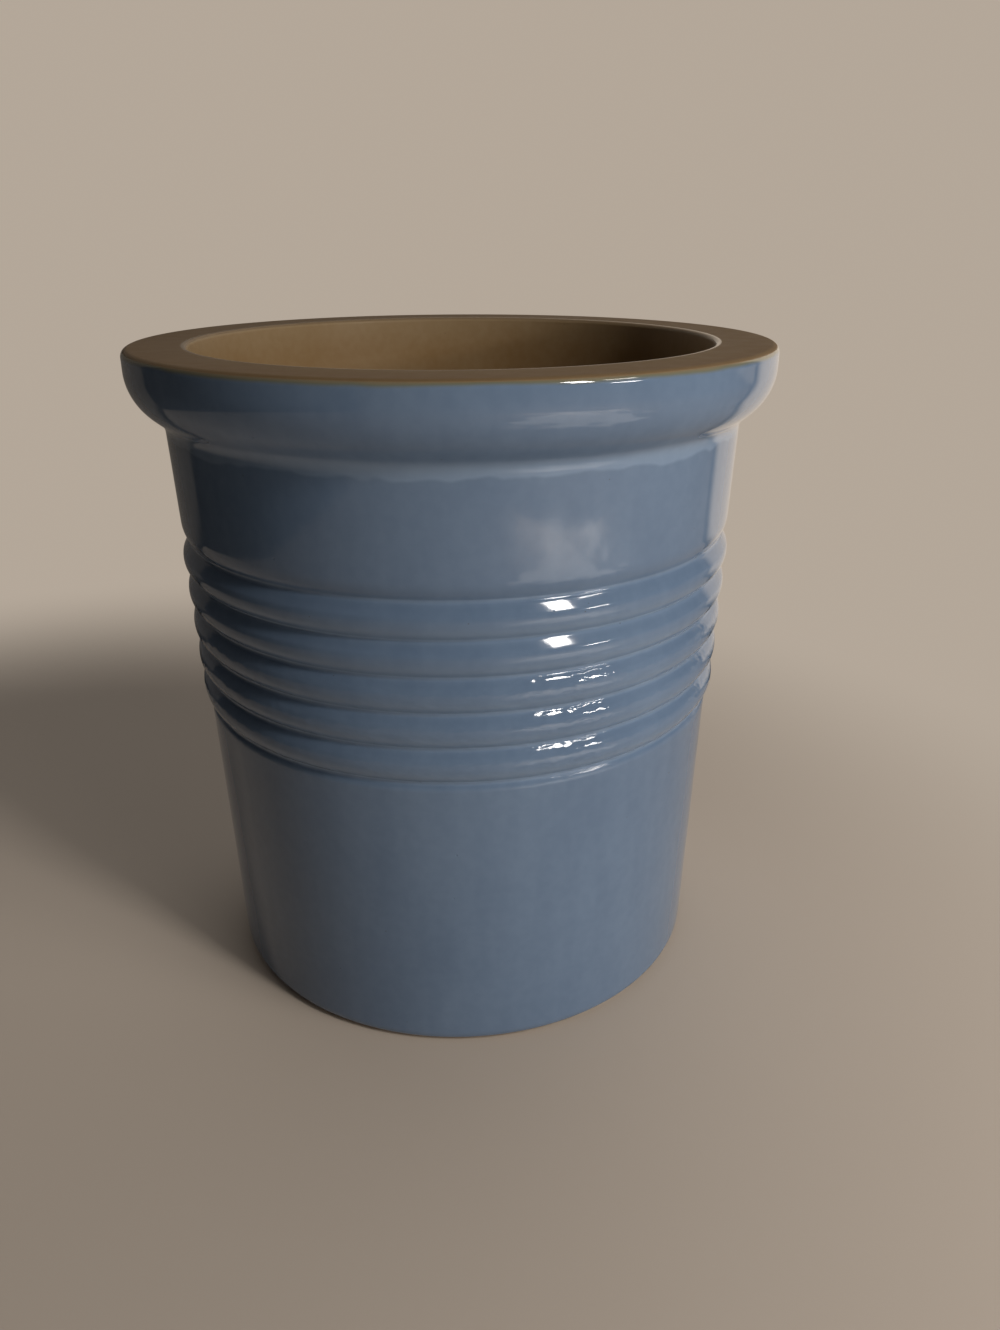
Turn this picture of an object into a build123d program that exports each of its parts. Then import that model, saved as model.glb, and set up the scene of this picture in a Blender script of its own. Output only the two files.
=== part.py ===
"""Utensil crock: a fired stoneware body with a rolled rim and five turned beads, glazed blue outside and tan
inside. Millimetres, +Z up, with the origin at the middle of the foot, on the table."""

import os

from build123d import *

# Rim and neck, over the glaze. Drops are measured down from the rim's flat top.
crock_height = 178.0
neck_diameter = 154.4
rim_drop = 18.4
rim_overhang = 8.4
rim_face_drop = 11.6
rim_belly_radius = 13.7
rim_edge_round = 2.0
neck_round = 4.5

# How far up the rim's rounded edge the blue coat reaches, in degrees, before the tan one takes over
blue_edge_angle = 45.0

# Beads turned in the tapered wall. The grooves are cut sharp in the clay, and the glaze rounds them.
bead_count = 5
bead_drop = 54.3
bead_pitch = 9.3
bead_rise = 0.85
bead_depth = 2.9
groove_round = 1.0
shoulder_roll = 5.35
wall_top_roll = 2.6
wall_top_inset = 0.4

# Base and foot
base_diameter = 141.8
base_round = 4.0
foot_ring_width = 7.0
foot_edge_round = 0.6
recess_depth = 2.5
dry_foot_height = 0.8

# Walls, with the glaze on both sides
neck_thickness = 7.7
base_thickness = 7.4
floor_thickness = 9.0
floor_corner_radius = 12.0
lip_round = 1.2
glaze_thickness = 0.4

# The same places on the clay, one coat of glaze below the surface
clay_top = crock_height - glaze_thickness
clay_floor = floor_thickness - glaze_thickness
neck_radius = neck_diameter / 2 - glaze_thickness
rim_radius = neck_radius + rim_overhang
base_radius = base_diameter / 2 - glaze_thickness
mouth_radius = neck_diameter / 2 - neck_thickness + glaze_thickness
floor_radius = base_diameter / 2 - base_thickness + glaze_thickness
base_curve = base_round - glaze_thickness
neck_height = crock_height - rim_drop
rim_edge_height = crock_height - rim_edge_round
foot_inner_radius = base_radius - base_curve - foot_ring_width
foot_middle_radius = foot_inner_radius + foot_ring_width / 2


def wall_radius(height):
    """The clay's plain taper from the base to the neck."""
    return base_radius + (neck_radius - base_radius) * height / neck_height


def crest(number):
    """Widest point of a bead. The top bead is number 0."""
    height = crock_height - bead_drop - number * bead_pitch
    return wall_radius(height) + bead_rise, height


def groove(number):
    """Point where a bead meets the groove above it."""
    radius, height = crest(number - 1 / 2)
    return radius - bead_depth, height


def bead_line():
    """The beads from the plain wall below them up to the shoulder, with sharp turned grooves between them."""
    wall_top_height = groove(bead_count)[1] - wall_top_roll
    shoulder_height = groove(0)[1] + shoulder_roll
    wall_top = Vector(wall_radius(wall_top_height) - wall_top_inset, wall_top_height)
    shoulder = Vector(wall_radius(shoulder_height), shoulder_height)
    with BuildLine() as line:
        TangentArc(wall_top, groove(bead_count), tangent=wall_top - Vector(base_radius, 0))
        for number in range(bead_count):
            ThreePointArc(groove(number), crest(number), groove(number + 1))
        TangentArc(shoulder, groove(0), tangent=shoulder - Vector(neck_radius, neck_height))
    return line.wire()


def rim_edge(start_angle, end_angle):
    """A stretch of the rim's rounded outer edge. Angle 0 is at the rim's face, and 90 at its flat top."""
    radius = rim_edge_round - glaze_thickness
    return CenterArc((rim_radius - radius, rim_edge_height), radius, start_angle, end_angle - start_angle)


def outside_line():
    """The clay's outside, from the middle of the foot ring up to where the blue coat ends on the rim's edge."""
    beads = bead_line()
    with BuildLine() as line:
        FilletPolyline((foot_middle_radius, 0), (base_radius, 0), beads @ 0, radius=base_curve)
        add(beads)
        FilletPolyline(
            beads @ 1,
            (neck_radius, neck_height),
            (rim_radius, crock_height - rim_face_drop),
            (rim_radius, rim_edge_height),
            radius=[neck_round + glaze_thickness, rim_belly_radius - glaze_thickness],
        )
        rim_edge(0, blue_edge_angle)
    return line.wire()


def glaze_in_grooves(vertices):
    """The coat's outer corner over each groove, where glaze pools. It is the next vertex after the clay's."""
    return [vertices.sort_by_distance(groove(number))[1] for number in range(bead_count + 1)]


def inside_line():
    """The clay's inside, from where the blue coat ends over the flat top and down to the floor's middle."""
    with BuildLine() as line:
        edge = rim_edge(blue_edge_angle, 90)
        FilletPolyline(
            edge @ 1,
            (mouth_radius, clay_top),
            (floor_radius, clay_floor),
            (0, clay_floor),
            radius=[lip_round - glaze_thickness, floor_corner_radius + glaze_thickness],
        )
    return line.wire()


def underside_line():
    """The clay's underside, from the middle of the recess to the middle of the foot ring."""
    recess_height = recess_depth + glaze_thickness
    with BuildLine() as line:
        recess = Line((0, recess_height), (foot_inner_radius, recess_height))
        FilletPolyline(recess @ 1, (foot_inner_radius, 0), (foot_middle_radius, 0), radius=foot_edge_round)
    return line.wire()


os.makedirs("parts", exist_ok=True)
outside = outside_line()
inside = inside_line()
underside = underside_line()

with BuildPart() as stoneware_body:
    with BuildSketch(Plane.XZ):
        with BuildLine():
            add([outside, inside, underside])
            Line(inside @ 1, underside @ 0)
        make_face()
    revolve(axis=Axis.Z)
stoneware_body.part.label = "stoneware_body"
export_step(stoneware_body.part, "parts/stoneware_body.step")

with BuildPart() as outer_blue_glaze:
    with BuildSketch(Plane.XZ) as coat:
        with BuildLine():
            offset(outside, amount=glaze_thickness, side=Side.RIGHT)
        make_face()
        fillet(glaze_in_grooves(coat.vertices()), radius=groove_round)
    revolve(axis=Axis.Z)
    split(bisect_by=Plane.XY.offset(dry_foot_height))
outer_blue_glaze.part.label = "outer_blue_glaze"
export_step(outer_blue_glaze.part, "parts/outer_blue_glaze.step")

with BuildPart() as inner_tan_glaze:
    with BuildSketch(Plane.XZ):
        with BuildLine():
            offset(inside, amount=glaze_thickness, side=Side.RIGHT)
        make_face()
    revolve(axis=Axis.Z)
inner_tan_glaze.part.label = "inner_tan_glaze"
export_step(inner_tan_glaze.part, "parts/inner_tan_glaze.step")

with BuildPart() as underside_glaze:
    with BuildSketch(Plane.XZ):
        with BuildLine():
            offset(underside, amount=glaze_thickness, side=Side.RIGHT)
        make_face()
    revolve(axis=Axis.Z)
    split(bisect_by=Plane.XY.offset(dry_foot_height))
underside_glaze.part.label = "underside_glaze"
export_step(underside_glaze.part, "parts/underside_glaze.step")
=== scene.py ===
"""Utensil crock, glazed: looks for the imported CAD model, in metres, in the same frame."""

import math

import bpy
from mathutils import Matrix, Vector, noise


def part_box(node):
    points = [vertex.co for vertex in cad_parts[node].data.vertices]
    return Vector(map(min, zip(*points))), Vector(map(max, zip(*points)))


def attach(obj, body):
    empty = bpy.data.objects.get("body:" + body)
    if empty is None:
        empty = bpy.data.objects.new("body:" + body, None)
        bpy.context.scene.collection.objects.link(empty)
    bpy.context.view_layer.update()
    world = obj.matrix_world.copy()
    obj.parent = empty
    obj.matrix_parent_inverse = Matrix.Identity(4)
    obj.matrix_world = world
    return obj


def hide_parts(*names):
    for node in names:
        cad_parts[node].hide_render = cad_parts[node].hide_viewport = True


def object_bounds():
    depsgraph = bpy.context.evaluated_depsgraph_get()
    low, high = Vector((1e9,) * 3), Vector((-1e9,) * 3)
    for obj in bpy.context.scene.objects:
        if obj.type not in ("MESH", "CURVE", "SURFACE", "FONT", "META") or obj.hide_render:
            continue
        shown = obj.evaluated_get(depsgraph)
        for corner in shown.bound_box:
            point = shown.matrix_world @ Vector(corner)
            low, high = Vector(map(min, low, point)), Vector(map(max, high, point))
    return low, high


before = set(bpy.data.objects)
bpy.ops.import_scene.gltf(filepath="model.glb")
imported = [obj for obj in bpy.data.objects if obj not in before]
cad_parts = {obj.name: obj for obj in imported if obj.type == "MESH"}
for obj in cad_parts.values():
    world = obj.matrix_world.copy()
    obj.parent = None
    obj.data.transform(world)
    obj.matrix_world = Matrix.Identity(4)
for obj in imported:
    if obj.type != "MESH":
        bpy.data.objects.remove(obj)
cad_low, cad_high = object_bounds()

# Heights and radii that the CAD model gives
_, clay_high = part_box("stoneware_body")
blue_low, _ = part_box("outer_blue_glaze")
liner_low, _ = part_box("inner_tan_glaze")
_, recess_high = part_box("underside_glaze")
crock_height = cad_high.z
clay_top = clay_high.z
clay_floor = liner_low.z
glaze_thickness = crock_height - clay_top
dry_foot_height = blue_low.z
recess_height = recess_high.z
rim_radius = clay_high.x
foot_inner_radius = recess_high.x

# Sizes over the glaze, as in the CAD model
rim_drop = 0.0184
rim_overhang = 0.0084
rim_face_drop = 0.0116
rim_belly_round = 0.0137
rim_edge_round = 0.002
blue_edge_angle = math.radians(45)
neck_round = 0.0045
bead_count = 5
bead_drop = 0.0543
bead_pitch = 0.0093
bead_rise = 0.00085
bead_depth = 0.0029
groove_round = 0.001
shoulder_roll = 0.00535
wall_top_roll = 0.0026
wall_top_inset = 0.0004
base_round = 0.004
foot_ring_width = 0.007
foot_edge_round = 0.0006
neck_thickness = 0.0077
base_thickness = 0.0074
floor_round = 0.012
lip_round = 0.0012

# The same places on the clay, one coat of glaze below the surface
neck_height = crock_height - rim_drop
rim_edge_height = crock_height - rim_edge_round
neck_radius = rim_radius - rim_overhang
base_curve = base_round - glaze_thickness
foot_outer_radius = foot_inner_radius + foot_ring_width
base_radius = foot_outer_radius + base_curve
mouth_radius = neck_radius - neck_thickness + 2 * glaze_thickness
floor_radius = base_radius - base_thickness + 2 * glaze_thickness

# How finely the outline and its turns are drawn. A coat's hidden side has only some of the outline's points.
arc_step = math.radians(4)
straight_step = 0.0025
same_place = 0.00002
turn_count = 216
hidden_step = 4
sharp_angle = math.radians(40)

# Over how many points on each side a bend is averaged, and which bend counts as strong, in radians a metre
bend_window = 5
strong_bend = 600

# Handwork: how far the fired surface strays from the true form, always inwards, and how far the strays reach
sway = 0.00016
sway_reach = 0.055
ripple = 0.00005
ripple_reach = 0.012
run_out = 0.0009

# The top two beads were trimmed flatter on their upper faces
flat_bead_count = 2
flat_tilt = math.radians(31)
flat_height = 0.003
flat_bulge = 0.25


def right(along):
    """The direction to the right of another: out of the clay, for a line that has the clay on its left."""
    return Vector((along.y, -along.x))


def arc(centre, start, end):
    """Points on the shorter round stretch about centre, from start to end."""
    spoke = start - centre
    sweep = math.atan2(spoke.cross(end - centre), spoke.dot(end - centre))
    count = max(2, math.ceil(abs(sweep) / arc_step))
    return [centre + Matrix.Rotation(sweep * k / count, 2) @ spoke for k in range(count + 1)]


def corner(before, at, after, radius):
    """The round stretch of this radius that takes the place of the middle corner."""
    back = (before - at).normalized()
    on = (after - at).normalized()
    half = back.angle(on) / 2
    reach = radius / math.tan(half)
    centre = at + (back + on).normalized() * radius / math.sin(half)
    return arc(centre, at + back * reach, at + on * reach)


def circle_through(a, b, c):
    """Centre and radius of the circle through three points."""
    near, far = b - a, c - a
    reach = (right(far) * near.length_squared - right(near) * far.length_squared) / (2 * near.cross(far))
    return a + reach, reach.length


def circle_along(start, direction, through):
    """Centre and radius of the circle that leaves start along a direction and meets a second point."""
    side = right(direction).normalized()
    chord = through - start
    reach = chord.length_squared / (2 * chord.dot(side))
    return start + side * reach, abs(reach)


def outer_meeting(one, other, gap):
    """The outer point that lies gap outside both circles."""
    (a, a_radius), (b, b_radius) = one, other
    span = b - a
    along = (span.length_squared + (a_radius + gap) ** 2 - (b_radius + gap) ** 2) / (2 * span.length)
    up = span.normalized()
    return a + up * along + right(up) * math.sqrt((a_radius + gap) ** 2 - along**2)


def wall_radius(height):
    """The clay's plain taper from the base to the neck."""
    return base_radius + (neck_radius - base_radius) * height / neck_height


def crest(number):
    """Widest point of a bead on the clay. The top bead is number 0."""
    height = crock_height - bead_drop - number * bead_pitch
    return Vector((wall_radius(height) + bead_rise, height))


def groove(number):
    """Point where a bead meets the groove above it."""
    return crest(number - 1 / 2) - Vector((bead_depth, 0))


def bead_line():
    """The beads from the wall below them up to the shoulder, with a hollow round in each groove."""
    wall_top_height = groove(bead_count).y - wall_top_roll
    shoulder_height = groove(0).y + shoulder_roll
    wall_top = Vector((wall_radius(wall_top_height) - wall_top_inset, wall_top_height))
    shoulder = Vector((wall_radius(shoulder_height), shoulder_height))
    rounds = [circle_along(wall_top, wall_top - Vector((base_radius, 0)), groove(bead_count))]
    for number in reversed(range(bead_count)):
        rounds.append(circle_through(groove(number + 1), crest(number), groove(number)))
    rounds.append(circle_along(shoulder, Vector((neck_radius, neck_height)) - shoulder, groove(0)))
    hollow = groove_round + glaze_thickness
    points = []
    start = wall_top
    for lower, upper in zip(rounds, rounds[1:]):
        meeting = outer_meeting(lower, upper, hollow)
        leave = lower[0] + (meeting - lower[0]).normalized() * lower[1]
        arrive = upper[0] + (meeting - upper[0]).normalized() * upper[1]
        points += arc(lower[0], start, leave)
        points += arc(meeting, leave, arrive)[1:-1]
        start = arrive
    return points + arc(rounds[-1][0], start, shoulder)


def trimmed(point):
    """Where a point on the glazed beads lies once the upper faces of the top ones are flatter."""
    out = Vector((math.cos(flat_tilt), math.sin(flat_tilt)))
    for number in range(flat_bead_count):
        centre, radius = circle_through(groove(number + 1), crest(number), groove(number))
        radius += glaze_thickness
        flat = math.sqrt(radius**2 - (flat_height / 2) ** 2)
        proud = (point - centre).dot(out) - flat
        if 0 < proud < glaze_thickness and abs(point.y - centre.y) < bead_pitch / 2:
            return point - out * proud * (1 - flat_bulge)
    return point


def rim_edge(start_angle, end_angle):
    """A stretch of the rim's rounded outer edge. Angle 0 is at its face, a right angle at its top."""
    radius = rim_edge_round - glaze_thickness
    centre = Vector((rim_radius - radius, rim_edge_height))
    start, end = (centre + Vector((math.cos(a), math.sin(a))) * radius for a in (start_angle, end_angle))
    return arc(centre, start, end)


def stepped(points):
    """The same line with its long straight runs cut into short steps, and no point twice."""
    line = [points[0]]
    for point in points[1:]:
        run = point - line[-1]
        if run.length < same_place:
            continue
        count = math.ceil(run.length / straight_step)
        line += [line[-1].lerp(point, k / count) for k in range(1, count + 1)]
    return line


def underside_line():
    """The clay's underside, from the middle of the recess to the middle of the foot ring."""
    recess_corner = Vector((foot_inner_radius, recess_height))
    ring_corner = Vector((foot_inner_radius, 0))
    ring_middle = Vector((foot_inner_radius + foot_ring_width / 2, 0))
    return stepped([
        Vector((0, recess_height)),
        *corner(Vector((0, recess_height)), recess_corner, ring_corner, foot_edge_round),
        *corner(recess_corner, ring_corner, ring_middle, foot_edge_round),
        ring_middle,
    ])


def outside_line():
    """The clay's outside, from the foot ring's middle up to where the blue coat ends on the rim's edge."""
    ring_middle = Vector((foot_inner_radius + foot_ring_width / 2, 0))
    base = Vector((base_radius, 0))
    neck = Vector((neck_radius, neck_height))
    belly = Vector((rim_radius, crock_height - rim_face_drop))
    edge = Vector((rim_radius, rim_edge_height))
    beads = bead_line()
    return stepped([
        ring_middle,
        *corner(ring_middle, base, beads[0], base_curve),
        *beads,
        *corner(beads[-1], neck, belly, neck_round + glaze_thickness),
        *corner(neck, belly, edge, rim_belly_round - glaze_thickness),
        *rim_edge(0, blue_edge_angle),
    ])


def inside_line():
    """The clay's inside, from where the blue coat ends over the flat top and down to the floor's middle."""
    rim_corner = Vector((rim_radius, clay_top))
    lip = Vector((mouth_radius, clay_top))
    floor_corner = Vector((floor_radius, clay_floor))
    middle = Vector((0, clay_floor))
    return stepped([
        *rim_edge(blue_edge_angle, math.pi / 2),
        *corner(rim_corner, lip, floor_corner, lip_round - glaze_thickness),
        *corner(lip, floor_corner, middle, floor_round + glaze_thickness),
        middle,
    ])


def normals(line):
    """Unit vectors out of the clay, which lies to the left of each line."""
    found = []
    for k in range(len(line)):
        along = line[min(k + 1, len(line) - 1)] - line[max(k - 1, 0)]
        found.append(right(along).normalized())
    return found


def bends(line):
    """How sharply the line turns at each point, in radians a metre: above 0 on edges, below 0 in hollows."""
    found = [0.0] * len(line)
    for k in range(1, len(line) - 1):
        into, out = line[k] - line[k - 1], line[k + 1] - line[k]
        turn = math.atan2(into.cross(out), into.dot(out))
        found[k] = turn / ((into.length + out.length) / 2)
    return found


def coat_thickness(height):
    """The coat's thickness, run out to nothing in a quarter round just above the dry foot."""
    rise = min(max((height - dry_foot_height) / run_out, 0), 1)
    return glaze_thickness * math.sqrt(1 - (1 - rise) ** 2)


def stray(place):
    """How far the fired wall lies inside the true form at a place on it."""
    slow = noise.noise(place / sway_reach) + 1
    quick = noise.noise(place / ripple_reach) + 1
    return slow * sway / 2 + quick * ripple / 2


def turned(name, outline, thin):
    """A closed mesh: the closed outline turned round the crock's axis. Points on the axis become poles.
    thin holds how thin the glaze runs at each point, from 0 in a groove to 1 over an edge."""
    vertices, shares, rings = [], [], []
    for point, share in zip(outline, thin):
        count = turn_count if point.x > same_place else 1
        rings.append(range(len(vertices), len(vertices) + count))
        for k in range(count):
            angle = 2 * math.pi * k / turn_count
            out = Vector((math.sin(angle), -math.cos(angle), 0))
            place = out * point.x + Vector((0, 0, point.y))
            flat_foot = min(point.y / base_round, 1)
            vertices.append(place - out * stray(place) * min(point.x / neck_radius, 1) * flat_foot)
            shares.append(share)
    faces = []
    for lower, upper in zip(rings, rings[1:] + rings[:1]):
        if len(lower) == len(upper) == 1:
            continue
        for k in range(turn_count):
            m = (k + 1) % turn_count
            if len(lower) == 1:
                faces.append((lower[0], upper[m], upper[k]))
            elif len(upper) == 1:
                faces.append((lower[k], lower[m], upper[0]))
            else:
                faces.append((lower[k], lower[m], upper[m], upper[k]))
    mesh = bpy.data.meshes.new(name)
    mesh.from_pydata([tuple(v) for v in vertices], [], faces)
    mesh.attributes.new("glaze_thin", "FLOAT", "POINT").data.foreach_set("value", shares)
    mesh.shade_smooth()
    mesh.set_sharp_from_angle(angle=sharp_angle)
    piece = bpy.data.objects.new(name, mesh)
    bpy.context.scene.collection.objects.link(piece)
    return piece


def thinness(line):
    """0.5 on a plain wall, less where glaze pools in a hollow, more where it runs off an edge."""
    bend = bends(line)
    found = []
    for k in range(len(bend)):
        window = bend[max(k - bend_window, 0):k + bend_window + 1]
        mean = sum(window) / len(window)
        found.append(0.5 + 0.5 * math.tanh(mean / strong_bend))
    return found


def coat_mesh(name, clay):
    """A coat of glaze over the part of the clay's line that lies above the dry foot."""
    covered = [k for k, point in enumerate(clay) if point.y >= dry_foot_height]
    out = normals(clay)
    thin = thinness(clay)
    hidden = sorted({covered[0], *covered[::hidden_step], covered[-1]}, reverse=True)
    surface = [trimmed(clay[k] + out[k] * coat_thickness(clay[k].y)) for k in covered]
    shares = [thin[k] for k in covered] + [thin[k] for k in hidden]
    return turned(name, surface + [clay[k] for k in hidden], shares)


outside = outside_line()
inside = inside_line()
underside = underside_line()
blue_glaze = coat_mesh("blue_glaze", outside)
tan_glaze = coat_mesh("tan_glaze", inside)
base_glaze = coat_mesh("base_glaze", underside)

for piece, node, slot in (
    (blue_glaze, "outer_blue_glaze", "blue_glaze"),
    (tan_glaze, "inner_tan_glaze", "tan_glaze"),
    (base_glaze, "underside_glaze", "tan_glaze"),
):
    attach(piece, "root")
    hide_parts(node)


def feed(tree, socket, value):
    """Puts a value on a socket, or links another node's output to it."""
    if isinstance(value, bpy.types.NodeSocket):
        tree.links.new(value, socket)
    else:
        socket.default_value = value


def add(tree, kind, inputs=None, **settings):
    """A node of this kind, with its settings, and with values or links at its inputs."""
    made = tree.nodes.new(kind)
    for name, value in settings.items():
        setattr(made, name, value)
    for socket, value in (inputs or {}).items():
        feed(tree, made.inputs[socket], value)
    return made


def combined(tree, operation, value, *others):
    """Numbers or links put together by one operation, from left to right."""
    for other in others:
        value = add(tree, "ShaderNodeMath", {0: value, 1: other}, operation=operation).outputs[0]
    return value


def between(tree, value, low, high, to_low=0.0, to_high=1.0):
    """A smooth step of a value from to_low at low to to_high at high."""
    inputs = {"Value": value, "From Min": low, "From Max": high, "To Min": to_low, "To Max": to_high}
    return add(tree, "ShaderNodeMapRange", inputs, interpolation_type="SMOOTHSTEP").outputs["Result"]


def mixed(tree, share, one, other):
    """A colour between two colours or links."""
    made = add(tree, "ShaderNodeMix", data_type="RGBA")
    sockets = {socket.identifier: socket for socket in (*made.inputs, *made.outputs)}
    feed(tree, sockets["Factor_Float"], share)
    feed(tree, sockets["A_Color"], one)
    feed(tree, sockets["B_Color"], other)
    return sockets["Result_Color"]


def part_along(tree, vector, axis):
    """A vector's part along X, Y or Z."""
    return add(tree, "ShaderNodeSeparateXYZ", {0: vector}).outputs[axis]


def away_from(tree, place, middle):
    """How far a place is from the middle of something."""
    return add(tree, "ShaderNodeVectorMath", {0: place, 1: middle}, operation="DISTANCE").outputs["Value"]


def cloud(tree, place, reach, detail=2.0, stretch=(1, 1, 1)):
    """Soft noise from 0 to 1 whose patches are reach across."""
    scaled = add(tree, "ShaderNodeVectorMath", {0: place, 1: stretch}, operation="MULTIPLY").outputs[0]
    inputs = {"Vector": scaled, "Scale": 1 / reach, "Detail": detail}
    return add(tree, "ShaderNodeTexNoise", inputs).outputs["Fac"]


# Nearly all of a cloud lies between these values
cloud_low = 0.3
cloud_high = 0.7


def patches(tree, place, reach, low, high, detail=2.0, stretch=(1, 1, 1)):
    """Soft patches of a value that goes from low to high."""
    return between(tree, cloud(tree, place, reach, detail, stretch), cloud_low, cloud_high, low, high)


def wander(tree, place, reach, amount, detail=2.0, stretch=(1, 1, 1)):
    """Soft patches of a value that strays by this amount to both sides of zero."""
    return patches(tree, place, reach, -amount, amount, detail, stretch)


# The share of a speck's radius within which it has its full strength
speck_core_share = 0.4


def specks(tree, place, apart, radius, share):
    """1 in the middle of small round specks, 0 elsewhere. share of the cells of this width hold one."""
    cells = add(tree, "ShaderNodeTexVoronoi", {"Vector": place, "Scale": 1 / apart})
    pick = add(tree, "ShaderNodeSeparateColor", {"Color": cells.outputs["Color"]}).outputs[0]
    held = combined(tree, "LESS_THAN", pick, share)
    edge = radius / apart
    spot = between(tree, cells.outputs["Distance"], speck_core_share * edge, edge, 1.0, 0.0)
    return combined(tree, "MULTIPLY", spot, held)


def finish_named(name):
    """A new material with its node tree, its shader and the place on the crock in metres."""
    made = bpy.data.materials.new(name)
    made.use_nodes = True
    tree = made.node_tree
    place = add(tree, "ShaderNodeTexCoord").outputs["Object"]
    return made, tree, tree.nodes["Principled BSDF"], place


def thin_glaze(tree):
    """How thin the coat runs at each point of its mesh."""
    return add(tree, "ShaderNodeAttribute", attribute_name="glaze_thin").outputs["Fac"]


def relief(tree, shader, height):
    """Gives the shader a fine relief whose height is in metres."""
    bump = add(tree, "ShaderNodeBump", {"Height": height, "Distance": 1.0, "Strength": 1.0})
    tree.links.new(bump.outputs["Normal"], shader.inputs["Normal"])


# Colours of the glazes and the clay
deep_blue = (0.077, 0.118, 0.189, 1)
pale_blue = (0.185, 0.250, 0.343, 1)
olive = (0.125, 0.125, 0.085, 1)
edge_tan = (0.175, 0.145, 0.095, 1)
deep_tan = (0.190, 0.114, 0.048, 1)
pale_tan = (0.250, 0.178, 0.100, 1)
# Painted shade for the rim's flat top
top_painted_shade_tan = (0.106, 0.064, 0.029, 1)
# The lip's paler tan: glaze thinning over the edge, and partly a painted highlight
lip_tan_and_highlight = (0.38, 0.30, 0.21, 1)
iron = (0.05, 0.036, 0.025, 1)
buff = (0.41, 0.335, 0.25, 1)
dark_buff = (0.26, 0.20, 0.14, 1)


def speckled(tree, place, colour, strength, apart, radius, share):
    """The colour with iron specks of this strength in it."""
    dots = specks(tree, place, apart, radius, share)
    return mixed(tree, combined(tree, "MULTIPLY", dots, strength), colour, iron)


# The glazes' relief, and the ripples on the lower beads
wave_reach = 0.016
wave_height = 0.00005
peel_reach = 0.0014
peel_height = 0.000003
pit_depth = 0.0001
bead_ripple_reach = 0.0013
bead_ripple_height = 0.00013
bead_ripple_stretch = (0.5, 0.5, 1)


def glaze_relief(tree, place, pits):
    """The fired glaze's slow waves, fine orange peel and pinholes, in metres."""
    waves = combined(tree, "MULTIPLY", cloud(tree, place, wave_reach, detail=1.0), wave_height)
    peel = combined(tree, "MULTIPLY", cloud(tree, place, peel_reach, detail=1.0), peel_height)
    holes = combined(tree, "MULTIPLY", pits, -pit_depth)
    return combined(tree, "ADD", waves, peel, holes)


def on_beads(tree, height, first, fade):
    """1 from the groove above this bead down to the last bead's foot, and fading out below that."""
    top = groove(first).y
    foot = groove(bead_count).y
    under_top = between(tree, height, top - groove_round, top, 1.0, 0.0)
    over_foot = between(tree, height, foot - fade, foot)
    return combined(tree, "MULTIPLY", under_top, over_foot)


def bead_ripples(tree, place, height):
    """The glaze's small ripples on the lower beads, which break up what they mirror, in metres."""
    lower_beads = on_beads(tree, height, flat_bead_count, bead_pitch / 2)
    ripples = cloud(tree, place, bead_ripple_reach, detail=1.0, stretch=bead_ripple_stretch)
    return combined(tree, "MULTIPLY", lower_beads, ripples, bead_ripple_height)


# The blue coat's tone, from 0 for deep to 1 for pale, by how thin the coat runs. The paler tone in the
# grooves is painted light.
pooled_thin = 0.1
wall_thin = 0.5
edge_thin = 0.9
groove_painted_light = 0.42
wall_tone = 0.24
edge_gain = 0.08

# What the tone gains as painted light on the beads' downward faces, against their shade: all of it where the
# normal's part along Z is facing_down, and nothing where it is facing_sideways
painted_fill_gain = 0.35
facing_down = -0.6
facing_sideways = 0.0

# The wavy pale band under the neck's round, a painted reflection, with its places below and above the neck's
# height
line_drop = 0.0036
line_blur = 0.001
neck_reflection_gain = 0.4
line_fade_drop = 0.001
line_fade_rise = 0.002

# Where the blue turns olive and then tan, above the start of the rim's rounded edge
olive_start = 0.0002
olive_end = 0.0012
edge_tan_start = 0.0009
edge_tan_end = 0.0015

# How far up clay shows through the coat's thin end above the dry foot
foot_blur = 0.0005

# How rough the blue coat is, how much rougher on the roll under the beads, and how it bends light
blue_smooth = 0.05
blue_rough = 0.10
roll_dulling = 0.12
blue_refraction = 1.52


def painted_fill_below(tree, height):
    """From 0 to 1 on the downward faces of the beads: where painted light lifts their shade."""
    facing = part_along(tree, add(tree, "ShaderNodeNewGeometry").outputs["Normal"], "Z")
    down = between(tree, facing, facing_down, facing_sideways, 1.0, 0.0)
    return combined(tree, "MULTIPLY", down, on_beads(tree, height, 0, groove_round))


def neck_painted_reflection(tree, place, height):
    """What the wavy pale band under the neck's round, a painted reflection, adds to the tone."""
    wavy = combined(tree, "ADD", height, wander(tree, place, reach=0.016, amount=0.0009))
    over_foot = between(tree, wavy, neck_height - line_drop, neck_height - line_drop + line_blur)
    gain = between(tree, height, neck_height - line_fade_drop, neck_height + line_fade_rise, neck_reflection_gain, 0.0)
    return combined(tree, "MULTIPLY", over_foot, gain)


def blue_tone(tree, place, height):
    """From 0 for deep to 1 for pale: painted light in the grooves, on the downward faces and under the neck,
    and paler over an edge.
    """
    thin = thin_glaze(tree)
    tone = between(tree, thin, pooled_thin, wall_thin, groove_painted_light, wall_tone)
    gain = combined(tree, "MULTIPLY", painted_fill_below(tree, height), painted_fill_gain)
    drift = wander(tree, place, reach=0.045, amount=0.06)
    mottle = wander(tree, place, reach=0.003, amount=0.03, detail=4.0)
    runs = wander(tree, place, reach=0.006, amount=0.03, stretch=(1, 1, 0.15))
    over_edge = between(tree, thin, wall_thin, edge_thin, 0.0, edge_gain)
    return combined(tree, "ADD", tone, gain, drift, mottle, runs, over_edge, neck_painted_reflection(tree, place, height))


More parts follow.
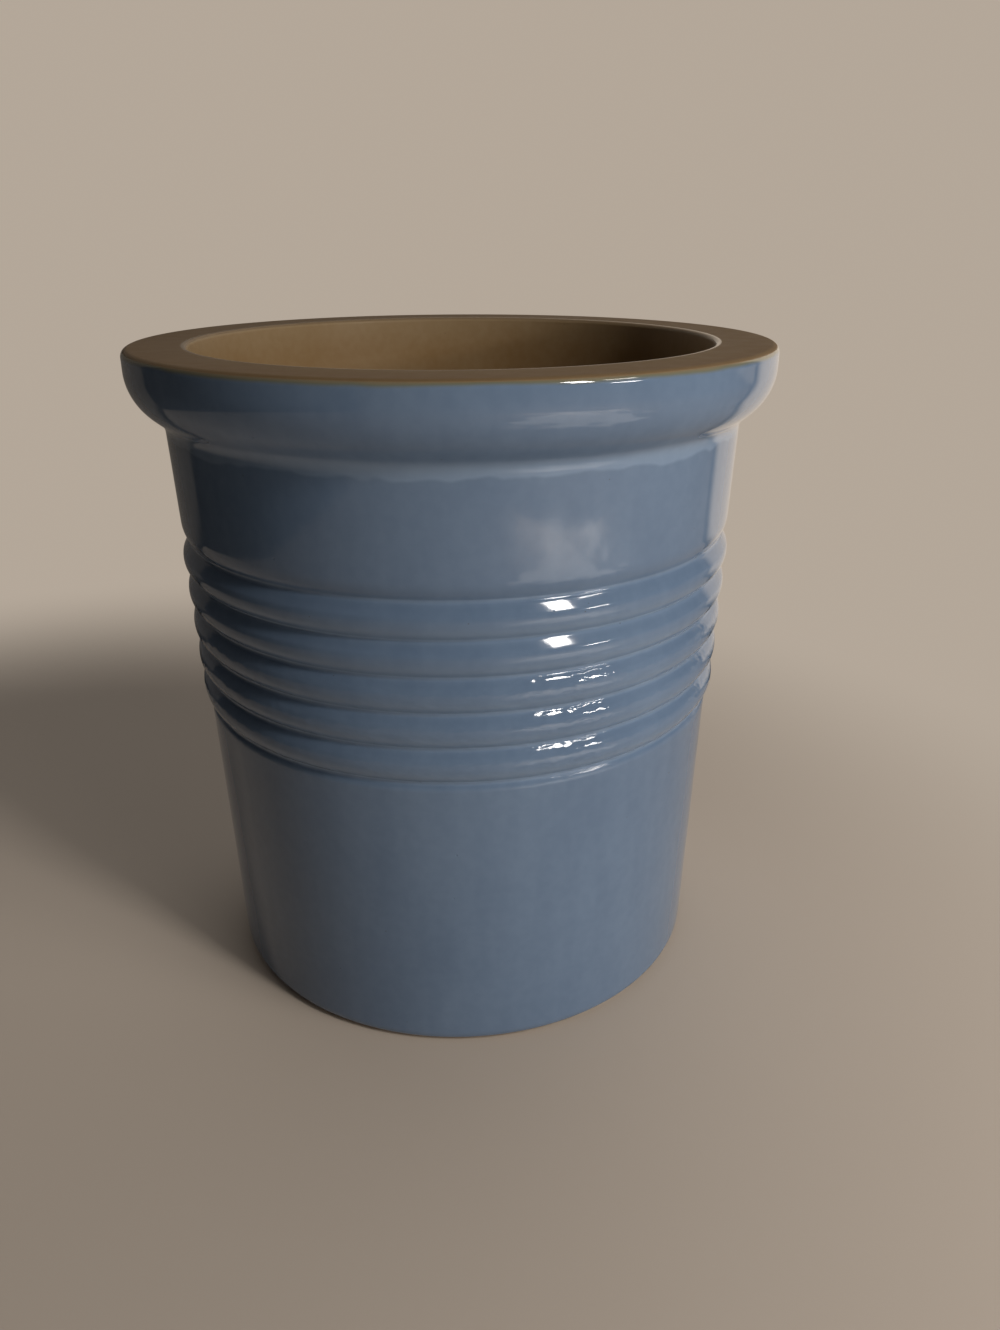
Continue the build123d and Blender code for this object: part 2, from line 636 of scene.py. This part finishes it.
def blue_colour(tree, place, height):
    """Greyish blue with iron specks, olive and then tan at the rim's edge. Clay shows at the foot."""
    colour = mixed(tree, blue_tone(tree, place, height), deep_blue, pale_blue)
    colour = speckled(tree, place, colour, strength=0.6, apart=0.0045, radius=0.00022, share=0.22)
    level = combined(tree, "ADD", height, wander(tree, place, reach=0.02, amount=0.0002))
    to_olive = between(tree, level, rim_edge_height + olive_start, rim_edge_height + olive_end)
    colour = mixed(tree, to_olive, colour, olive)
    to_tan = between(tree, level, rim_edge_height + edge_tan_start, rim_edge_height + edge_tan_end)
    colour = mixed(tree, to_tan, colour, edge_tan)
    at_foot = between(tree, level, dry_foot_height, dry_foot_height + foot_blur, 1.0, 0.0)
    return mixed(tree, at_foot, colour, dark_buff)


def blue_roughness(tree, place, height):
    """Glossy nearly all over, and duller on the roll under the beads."""
    gloss = patches(tree, place, reach=0.010, low=blue_smooth, high=blue_rough, detail=3.0)
    foot = groove(bead_count).y
    under_beads = between(tree, height, foot - groove_round / 2, foot + groove_round / 2, roll_dulling, 0.0)
    over_wall = between(tree, height, foot - 2 * wall_top_roll, foot - wall_top_roll)
    return combined(tree, "ADD", gloss, combined(tree, "MULTIPLY", under_beads, over_wall))


def blue_finish():
    """Glossy greyish blue glaze, run thin over edges, with painted light in the grooves, on downward faces
    and under the neck.
    """
    made, tree, shader, place = finish_named("blue_glaze")
    height = part_along(tree, place, "Z")
    feed(tree, shader.inputs["Base Color"], blue_colour(tree, place, height))
    feed(tree, shader.inputs["Roughness"], blue_roughness(tree, place, height))
    shader.inputs["IOR"].default_value = blue_refraction
    pits = specks(tree, place, apart=0.008, radius=0.00035, share=0.3)
    surface = combined(tree, "ADD", glaze_relief(tree, place, pits), bead_ripples(tree, place, height))
    relief(tree, shader, surface)
    return made


# The tan coat's tone, from 0 for deep to 1 for pale, by how thin the coat runs
tan_thick = 0.6
tan_thin = 1.0
liner_tone = 0.38
thin_tone = 1.0

# The flat top is told by its height below the rim's top, and the lip by its radius. Both change the colour:
# the top darker as painted shade, the lip paler.
top_drop = 0.0008
top_blur = 0.0005
top_shade_strength = 0.75
lip_blur = 0.0005
lip_highlight_strength = 0.2

# How rough the tan coat is, how much rougher on the flat top, and by which factor it is smoother on the lip.
# Then how it bends light, and how strongly it mirrors.
tan_smooth = 0.36
tan_rough = 0.50
top_dulling = 0.35
lip_smoothing = 0.12
tan_refraction = 1.5
tan_specular = 0.1


def flat_top(tree, height):
    """1 on the rim's flat top, 0 on the liner below it."""
    return between(tree, height, crock_height - top_drop, crock_height - top_drop + top_blur)


def flat_lip(tree, place, on_top):
    """1 on the inner end of the flat top, where it rounds down into the mouth, and 0 elsewhere."""
    flat = add(tree, "ShaderNodeVectorMath", {0: place, 1: (1, 1, 0)}, operation="MULTIPLY").outputs[0]
    radius = away_from(tree, flat, (0, 0, 0))
    lip_end = mouth_radius - glaze_thickness + lip_round
    return combined(tree, "MULTIPLY", on_top, between(tree, radius, lip_end, lip_end + lip_blur, 1.0, 0.0))


def tan_finish():
    """Tan glaze, paler where it runs thin. The flat top is matt with painted shade, and its lip glossy and
    paler, partly as a painted highlight.
    """
    made, tree, shader, place = finish_named("tan_glaze")
    on_top = flat_top(tree, part_along(tree, place, "Z"))
    on_lip = flat_lip(tree, place, on_top)
    tone = between(tree, thin_glaze(tree), tan_thick, tan_thin, liner_tone, thin_tone)
    drift = wander(tree, place, reach=0.03, amount=0.14)
    mottle = wander(tree, place, reach=0.0025, amount=0.09, detail=4.0)
    colour = mixed(tree, combined(tree, "ADD", tone, drift, mottle), deep_tan, pale_tan)
    # The flat top's darker colour is painted shade
    colour = mixed(tree, combined(tree, "MULTIPLY", on_top, top_shade_strength), colour, top_painted_shade_tan)
    # The lip's paler colour is partly a painted highlight
    colour = mixed(tree, combined(tree, "MULTIPLY", on_lip, lip_highlight_strength), colour, lip_tan_and_highlight)
    colour = speckled(tree, place, colour, strength=0.55, apart=0.003, radius=0.0002, share=0.3)
    feed(tree, shader.inputs["Base Color"], colour)
    gloss = patches(tree, place, reach=0.006, low=tan_smooth, high=tan_rough, detail=3.0)
    gloss = combined(tree, "ADD", gloss, combined(tree, "MULTIPLY", on_top, top_dulling))
    gloss = combined(tree, "MULTIPLY", gloss, between(tree, on_lip, 0, 1, 1.0, lip_smoothing))
    feed(tree, shader.inputs["Roughness"], gloss)
    shader.inputs["IOR"].default_value = tan_refraction
    shader.inputs["Specular IOR Level"].default_value = tan_specular
    pits = specks(tree, place, apart=0.007, radius=0.0003, share=0.25)
    relief(tree, shader, glaze_relief(tree, place, pits))
    return made


# The dry clay: where its tone turns from dark to pale, how rough it is, and how high its grain
clay_dark = 0.35
clay_pale = 0.65
clay_smooth = 0.7
clay_rough = 0.9
grain_height = 0.00006


def clay_finish():
    """Dry fired buff clay with grain and a few iron specks."""
    made, tree, shader, place = finish_named("fired_clay")
    grain = cloud(tree, place, reach=0.0008, detail=4.0)
    drift = cloud(tree, place, reach=0.02, detail=3.0)
    tone = combined(tree, "MULTIPLY", combined(tree, "ADD", grain, drift), 0.5)
    colour = mixed(tree, between(tree, tone, clay_dark, clay_pale), dark_buff, buff)
    colour = speckled(tree, place, colour, strength=0.7, apart=0.002, radius=0.00018, share=0.3)
    feed(tree, shader.inputs["Base Color"], colour)
    roughness = between(tree, grain, cloud_low, cloud_high, clay_smooth, clay_rough)
    feed(tree, shader.inputs["Roughness"], roughness)
    relief(tree, shader, combined(tree, "MULTIPLY", grain, grain_height))
    return made


blue_glaze.data.materials.append(blue_finish())
tan_material = tan_finish()
tan_glaze.data.materials.append(tan_material)
base_glaze.data.materials.append(tan_material)
bpy.data.objects["stoneware_body"].material_slots[0].material = clay_finish()

# Stage: a pale floor that fades all round into a pale background
pale = (0.455, 0.388, 0.32, 1)
floor_dark = (0.43, 0.37, 0.315, 1)
floor_light = (0.49, 0.425, 0.365, 1)
floor_roughness = 0.7
floor_specular = 0.1
floor_reach = 8.0
floor_side_count = 96
fade_middle = (-0.12, -0.07, 0)
fade_start = 0.23
fade_end = 0.42

# Light from all round: faint from before the crock, and stronger from behind it, for its back and sides
warm_white = (1.0, 0.95, 0.89, 1)
room_light = 0.05
back_light = 1.2
back_light_start = 0.2
back_light_end = 0.9

# The glaze mirrors a dim room before the crock, and the pale background only behind it. The change lies
# between these values of Y: metres on the floor, and a direction's part in the surround.
room_shown = (0.022, 0.022, 0.026, 1)
behind_start = 0.5
behind_end = 0.6

# A painted pool of lamplight on the floor, glowing with no lamp, that only the glaze mirrors: a painted
# reflection
pool_middle = (0.24, -0.26, 0)
pool_reach = 0.14
pool_core_share = 0.75
pool_glow = 1.1

# The glowing card behind the crock, a painted reflection that lights nothing, dimmer to its left as painted
# shade, with a faded end and foot, and the black flag from its left end forwards
card_left = -0.41
card_right = 0.385
card_back = 0.17
card_height = 0.4
card_glow_left = 0.2
card_glow_right = 2.4
card_end_fade = 0.08
card_foot_fade = 0.05
flag_bend = (card_left, -0.25, 0)
flag_end = (-0.3, -0.6, 0)
flag_black = (0.012, 0.012, 0.014, 1)
flag_roughness = 0.9


def behind(tree, along):
    """From 0 before and beside the crock to 1 behind it, by a place's or a direction's part along Y."""
    return between(tree, along, behind_start, behind_end)


def shown(tree, mirrored_share):
    """1 for the camera's rays, and this share for rays that are mirrored or seen through."""
    path = add(tree, "ShaderNodeLightPath").outputs
    mirrored = combined(tree, "MAXIMUM", path["Is Glossy Ray"], path["Is Transmission Ray"])
    mirrored = combined(tree, "MULTIPLY", mirrored, mirrored_share)
    return combined(tree, "MAXIMUM", path["Is Camera Ray"], mirrored)


def emission(tree, colour, strength):
    """A shader that glows with this colour and strength."""
    return add(tree, "ShaderNodeEmission", {"Color": colour, "Strength": strength}).outputs[0]


def painted_lamp_pool(tree, place):
    """A painted glow: a soft ragged pool of lamplight before the crock and to its right, seen only in the
    glaze.
    """
    away = away_from(tree, place, pool_middle)
    ragged = combined(tree, "ADD", away, wander(tree, place, reach=0.06, amount=0.05, detail=4.0))
    share = between(tree, ragged, pool_core_share * pool_reach, pool_reach, 1.0, 0.0)
    mirrored = add(tree, "ShaderNodeLightPath").outputs["Is Glossy Ray"]
    return emission(tree, warm_white, combined(tree, "MULTIPLY", share, mirrored, pool_glow))


def stage_piece(name, points, faces):
    """A piece of the stage with a new material, and its node tree."""
    mesh = bpy.data.meshes.new(name)
    mesh.from_pydata([tuple(point) for point in points], [], faces)
    piece = bpy.data.objects.new(name, mesh)
    bpy.context.scene.collection.objects.link(piece)
    made = bpy.data.materials.new(name)
    made.use_nodes = True
    mesh.materials.append(made)
    return piece, made.node_tree


def floor():
    """A wide round floor. Away from the crock it takes the background's own colour, so no edge shows."""
    turns = [2 * math.pi * k / floor_side_count for k in range(floor_side_count)]
    rim = [Vector((math.sin(turn), -math.cos(turn), 0)) * floor_reach for turn in turns]
    _, tree = stage_piece("floor", rim, [tuple(range(floor_side_count))])
    shader = tree.nodes["Principled BSDF"]
    place = add(tree, "ShaderNodeTexCoord").outputs["Object"]
    tone = patches(tree, place, reach=0.05, low=0.48, high=0.52, detail=4.0)
    feed(tree, shader.inputs["Base Color"], mixed(tree, tone, floor_dark, floor_light))
    shader.inputs["Roughness"].default_value = floor_roughness
    shader.inputs["Specular IOR Level"].default_value = floor_specular
    faded = between(tree, away_from(tree, place, fade_middle), fade_start, fade_end)
    seen = shown(tree, behind(tree, part_along(tree, place, "Y")))
    share = combined(tree, "MULTIPLY", faded, seen)
    background = emission(tree, pale, 1.0)
    both = add(tree, "ShaderNodeMixShader", {0: share, 1: shader.outputs[0], 2: background}).outputs[0]
    both = add(tree, "ShaderNodeAddShader", {0: both, 1: painted_lamp_pool(tree, place)}).outputs[0]
    feed(tree, tree.nodes["Material Output"].inputs["Surface"], both)


def surround():
    """Soft light from all round and a plain pale background, mirrored as a dim room before the crock."""
    world = bpy.data.worlds.new("surround")
    world.use_nodes = True
    tree = world.node_tree
    light = tree.nodes["Background"]
    light.inputs["Color"].default_value = warm_white
    along = part_along(tree, add(tree, "ShaderNodeTexCoord").outputs["Generated"], "Y")
    strength = between(tree, along, back_light_start, back_light_end, room_light, back_light)
    feed(tree, light.inputs["Strength"], strength)
    colour = mixed(tree, shown(tree, behind(tree, along)), room_shown, pale)
    background = add(tree, "ShaderNodeBackground", {"Color": colour, "Strength": 1.0}).outputs[0]
    shaders = {0: shown(tree, 1.0), 1: light.outputs[0], 2: background}
    both = add(tree, "ShaderNodeMixShader", shaders).outputs[0]
    feed(tree, tree.nodes["World Output"].inputs["Surface"], both)
    bpy.context.scene.world = world


def screen(name, line, height):
    """An upright screen on the floor along a line, out of the camera's sight, and its node tree."""
    count = len(line)
    feet = [Vector(foot) for foot in line]
    heads = [foot + Vector((0, 0, height)) for foot in feet]
    faces = [(k, k + 1, k + 1 + count, k + count) for k in range(count - 1)]
    piece, tree = stage_piece(name, feet + heads, faces)
    piece.visible_camera = False
    piece.visible_shadow = False
    return piece, tree


def glowing_mirror_card():
    """A glowing pale card behind the crock that lights nothing: a painted reflection along both outlines,
    dimmer at left as painted shade.
    """
    card, tree = screen("glowing_mirror_card", [(card_left, card_back, 0), (card_right, card_back, 0)], card_height)
    card.visible_diffuse = False
    place = add(tree, "ShaderNodeTexCoord").outputs["Object"]
    across = part_along(tree, place, "X")
    glow = between(tree, across, card_left / 2, card_right, card_glow_left, card_glow_right)
    end = between(tree, across, card_right - card_end_fade, card_right, 1.0, 0.0)
    foot = between(tree, part_along(tree, place, "Z"), 0.0, card_foot_fade)
    shining = emission(tree, pale, combined(tree, "MULTIPLY", glow, end, foot))
    feed(tree, tree.nodes["Material Output"].inputs["Surface"], shining)


def black_flag():
    """A black screen to the left that keeps that side of the crock dark."""
    _, tree = screen("black_flag", [(card_left, card_back, 0), flag_bend, flag_end], card_height)
    shader = tree.nodes["Principled BSDF"]
    shader.inputs["Base Color"].default_value = flag_black
    shader.inputs["Roughness"].default_value = flag_roughness


def softbox(name, azimuth, elevation, distance, width, height, power):
    """A soft lamp aimed at the beads. Azimuth 0 is before the crock, 90 to its right. Power is in watts."""
    lamp = bpy.data.lights.new(name, "AREA")
    lamp.shape = "RECTANGLE"
    lamp.color = warm_white[:3]
    lamp.size = width
    lamp.size_y = height
    lamp.energy = power
    box = bpy.data.objects.new(name, lamp)
    bpy.context.scene.collection.objects.link(box)
    turn = math.radians(azimuth)
    rise = math.radians(elevation)
    way = Vector((math.sin(turn) * math.cos(rise), -math.cos(turn) * math.cos(rise), math.sin(rise)))
    box.location = Vector((0, 0, crest(bead_count // 2).y)) + way * distance
    box.rotation_euler = way.to_track_quat("Z", "Y").to_euler()
    box.visible_camera = False
    return box


floor()
surround()
glowing_mirror_card()
black_flag()

# The lamps that the glaze mirrors, and two that only light it
softbox("key_softbox", azimuth=44.5, elevation=36, distance=0.8, width=0.10, height=0.17, power=2.5)
softbox("upper_strip", azimuth=62, elevation=39, distance=0.8, width=0.14, height=0.025, power=0.45)
softbox("lower_strip", azimuth=56, elevation=12, distance=0.8, width=0.13, height=0.04, power=0.9)
for soft in (
    softbox("wide_softbox", azimuth=51, elevation=18, distance=1.3, width=0.7, height=0.45, power=3.4),
    softbox("low_softbox", azimuth=40, elevation=-8, distance=0.5, width=0.3, height=0.06, power=0.65),
):
    soft.visible_glossy = False

# The camera that fits the photograph's rim, mouth and base
camera_place = (0.01225, -0.29088, 0.20453)
camera_tilt = math.radians(22.828)
camera_roll = math.radians(-0.189)
camera_data = bpy.data.cameras.new("camera")
camera_data.sensor_width = 36
camera_data.lens = 27.93
camera_data.clip_start = 0.01
camera = bpy.data.objects.new("camera", camera_data)
bpy.context.scene.collection.objects.link(camera)
look = Matrix.Rotation(math.pi / 2 - camera_tilt, 4, "X") @ Matrix.Rotation(camera_roll, 4, "Z")
camera.matrix_world = Matrix.Translation(camera_place) @ look
bpy.context.scene.camera = camera
bpy.context.scene.view_settings.view_transform = "Standard"
